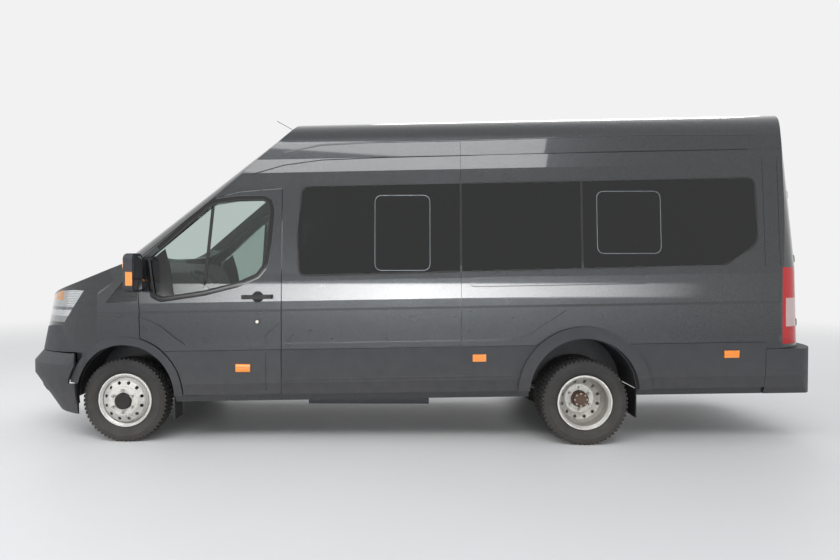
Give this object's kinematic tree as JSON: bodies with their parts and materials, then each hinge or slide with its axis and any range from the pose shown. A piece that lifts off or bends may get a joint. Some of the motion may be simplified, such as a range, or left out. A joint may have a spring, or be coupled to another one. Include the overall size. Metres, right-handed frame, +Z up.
{
  "type": "minibus",
  "caption": "High roofed minibus with glazed sides, rows of seats, hinged front and rear doors, steered front wheels and twin rear wheels.",
  "frame": {"origin": "on the ground, at the middle of the length and width", "axes": "+X to the rear along the length, +Y to the vehicle's own right-hand side as seen by its driver facing -X, +Z up"},
  "size_m": [6.704, 2.474, 2.7659],
  "materials": {
    "body_paint": "dark grey metallic gloss",
    "underbody": "satin black",
    "trim_plastic": "grained grey black",
    "interior_plastic": "grained charcoal",
    "dark_glass": "dark tinted",
    "clear_glass": "pale grey green",
    "lamp_clear": "clear with bright reflectors",
    "lamp_red": "red lens",
    "lamp_amber": "amber lens",
    "flap_rubber": "matte",
    "seat_cloth": "woven grey",
    "cast_metal": "rough",
    "radiator_metal": "dull",
    "exhaust_steel": "dull",
    "wheel_silver": "silver, worn",
    "tyre_rubber": "matte"
  },
  "bodies": {
    "body": {"floor_pan": "underbody", "wheel_housings": "trim_plastic", "chassis_frame": "underbody", "cab_frame": "body_paint", "side_wall_left": "body_paint", "side_wall_right": "body_paint", "sliding_door": "body_paint", "roof_panel": "body_paint", "front_wings": "body_paint", "front_bumper": "trim_plastic", "rear_bumper": "trim_plastic", "radiator_grille": "trim_plastic", "headlamps": "lamp_clear", "tail_lamps": "lamp_red", "windscreen": "clear_glass", "side_glass_left": "dark_glass", "side_glass_right": "dark_glass", "side_cladding": "trim_plastic", "side_markers": "lamp_amber", "mud_flaps": "flap_rubber", "dashboard": "interior_plastic", "seat_frames": "underbody", "seat_cushions": "seat_cloth", "seat_backs": "seat_cloth", "engine_block": "cast_metal", "radiator": "radiator_metal", "exhaust_line": "exhaust_steel", "fuel_tank": "interior_plastic", "driveline": "cast_metal", "leaf_springs": "underbody", "front_suspension": "underbody"},
    "bonnet": {"bonnet": "body_paint"},
    "steering_wheel": {"steering_wheel": "interior_plastic"},
    "front_door_left": {"front_door_left": "body_paint", "front_door_glass_left": "clear_glass", "front_door_trim_left": "trim_plastic", "mirror_left": "trim_plastic"},
    "rear_door_left": {"rear_door_left": "body_paint", "rear_door_glass_left": "dark_glass"},
    "knuckle_left": {"knuckle_left": "cast_metal"},
    "front_wheel_left": {"front_rim_left": "wheel_silver", "front_tyre_left": "tyre_rubber"},
    "rear_wheels_left": {"rear_rims_left": "wheel_silver", "rear_tyres_left": "tyre_rubber"},
    "front_door_right": {"front_door_right": "body_paint", "front_door_glass_right": "clear_glass", "front_door_trim_right": "trim_plastic", "mirror_right": "trim_plastic"},
    "rear_door_right": {"rear_door_right": "body_paint", "rear_door_glass_right": "dark_glass"},
    "knuckle_right": {"knuckle_right": "cast_metal"},
    "front_wheel_right": {"front_rim_right": "wheel_silver", "front_tyre_right": "tyre_rubber"},
    "rear_wheels_right": {"rear_rims_right": "wheel_silver", "rear_tyres_right": "tyre_rubber"}
  },
  "joints": [
    {"name": "front_door_hinge_left", "type": "hinge", "parent": "body", "child": "front_door_left", "pos_m": [-2.211, -1.03, 0.9], "axis": [0, 0, -1], "range_deg": [0, 70]},
    {"name": "rear_door_hinge_left", "type": "hinge", "parent": "body", "child": "rear_door_left", "pos_m": [3.195, -0.905, 1.4], "axis": [0, 0, -1], "range_deg": [0, 180]},
    {"name": "steer_left", "type": "hinge", "parent": "body", "child": "knuckle_left", "pos_m": [-2.329, -0.79, 0.342], "axis": [0, 0, 1], "range_deg": [-35, 35]},
    {"name": "front_wheel_spin_left", "type": "hinge", "parent": "knuckle_left", "child": "front_wheel_left", "pos_m": [-2.329, -0.866, 0.342], "axis": [0, 1, 0], "continuous": true},
    {"name": "rear_wheels_spin_left", "type": "hinge", "parent": "body", "child": "rear_wheels_left", "pos_m": [1.421, -0.821, 0.342], "axis": [0, 1, 0], "continuous": true},
    {"name": "front_door_hinge_right", "type": "hinge", "parent": "body", "child": "front_door_right", "pos_m": [-2.211, 1.03, 0.9], "axis": [0, 0, 1], "range_deg": [0, 70]},
    {"name": "rear_door_hinge_right", "type": "hinge", "parent": "body", "child": "rear_door_right", "pos_m": [3.195, 0.905, 1.4], "axis": [0, 0, 1], "range_deg": [0, 180]},
    {"name": "steer_right", "type": "hinge", "parent": "body", "child": "knuckle_right", "pos_m": [-2.329, 0.79, 0.342], "axis": [0, 0, 1], "range_deg": [-35, 35]},
    {"name": "front_wheel_spin_right", "type": "hinge", "parent": "knuckle_right", "child": "front_wheel_right", "pos_m": [-2.329, 0.866, 0.342], "axis": [0, 1, 0], "continuous": true},
    {"name": "rear_wheels_spin_right", "type": "hinge", "parent": "body", "child": "rear_wheels_right", "pos_m": [1.421, 0.821, 0.342], "axis": [0, 1, 0], "continuous": true},
    {"name": "bonnet_hinge", "type": "hinge", "parent": "body", "child": "bonnet", "pos_m": [-2.529, 0, 1.452], "axis": [0, 1, 0], "range_deg": [0, 60]},
    {"name": "steering_wheel_turn", "type": "hinge", "parent": "body", "child": "steering_wheel", "pos_m": [-1.769, -0.43, 1.29], "axis": [0.5736, 0, 0.8192], "range_deg": [-560, 560]}
  ],
  "couplings": [
    {"joint": "steer_right", "follows": "steer_left", "ratio": 1},
    {"joint": "steering_wheel_turn", "follows": "steer_left", "ratio": 16}
  ]
}
